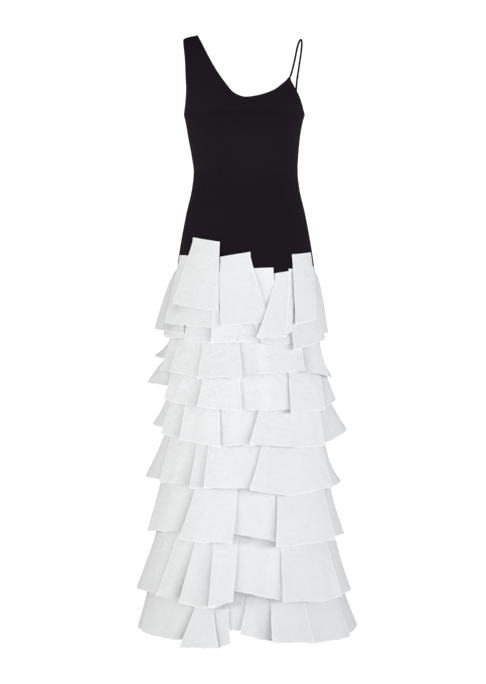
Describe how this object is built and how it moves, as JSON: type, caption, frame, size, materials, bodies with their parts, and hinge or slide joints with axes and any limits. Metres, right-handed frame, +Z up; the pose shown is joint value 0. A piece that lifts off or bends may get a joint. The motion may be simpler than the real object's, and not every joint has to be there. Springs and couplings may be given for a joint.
{
  "type": "evening gown",
  "caption": "Floor-length evening gown in its worn form: close black bodice with a wide shoulder and a thin strap, over a tiered white skirt of stiff, straight-cut flaps.",
  "frame": {"origin": "on the gown's middle plane at shoulder height, between the wide shoulder and the strap, where the wearer holds it up", "axes": "+Z up towards the neck, -Y out of the front, +X towards the side with the thin strap"},
  "size_m": [0.5544, 0.4859, 1.4989],
  "materials": {
    "black_jersey": "matte, fine knitted jersey",
    "white_cloth": "matte, stiff plain weave with cut edges"
  },
  "bodies": {
    "root": {"bodice_back": "black_jersey", "bodice_front": "black_jersey", "shoulder_strap": "black_jersey", "tier_1_under_back": "white_cloth", "tier_1_under_front": "white_cloth", "tier_2_back": "white_cloth", "tier_2_front": "white_cloth", "tier_3_back": "white_cloth", "tier_3_front": "white_cloth", "tier_4_back": "white_cloth", "tier_4_front": "white_cloth", "tier_5_back": "white_cloth", "tier_5_front": "white_cloth", "tier_6_back": "white_cloth", "tier_6_front": "white_cloth", "tier_7_back": "white_cloth", "tier_7_front": "white_cloth", "tier_8_back": "white_cloth", "tier_8_front": "white_cloth", "top_flap_back_1": "white_cloth", "top_flap_back_10": "white_cloth", "top_flap_back_2": "white_cloth", "top_flap_back_3": "white_cloth", "top_flap_back_4": "white_cloth", "top_flap_back_5": "white_cloth", "top_flap_back_7": "white_cloth", "top_flap_back_9": "white_cloth", "top_flap_front_1": "white_cloth", "top_flap_front_10": "white_cloth", "top_flap_front_2": "white_cloth", "top_flap_front_3": "white_cloth", "top_flap_front_4": "white_cloth", "top_flap_front_5": "white_cloth", "top_flap_front_6": "white_cloth", "top_flap_front_7": "white_cloth", "top_flap_front_8": "white_cloth", "top_flap_front_9": "white_cloth", "underskirt_back": "white_cloth", "underskirt_front": "white_cloth"}
  },
  "joints": []
}
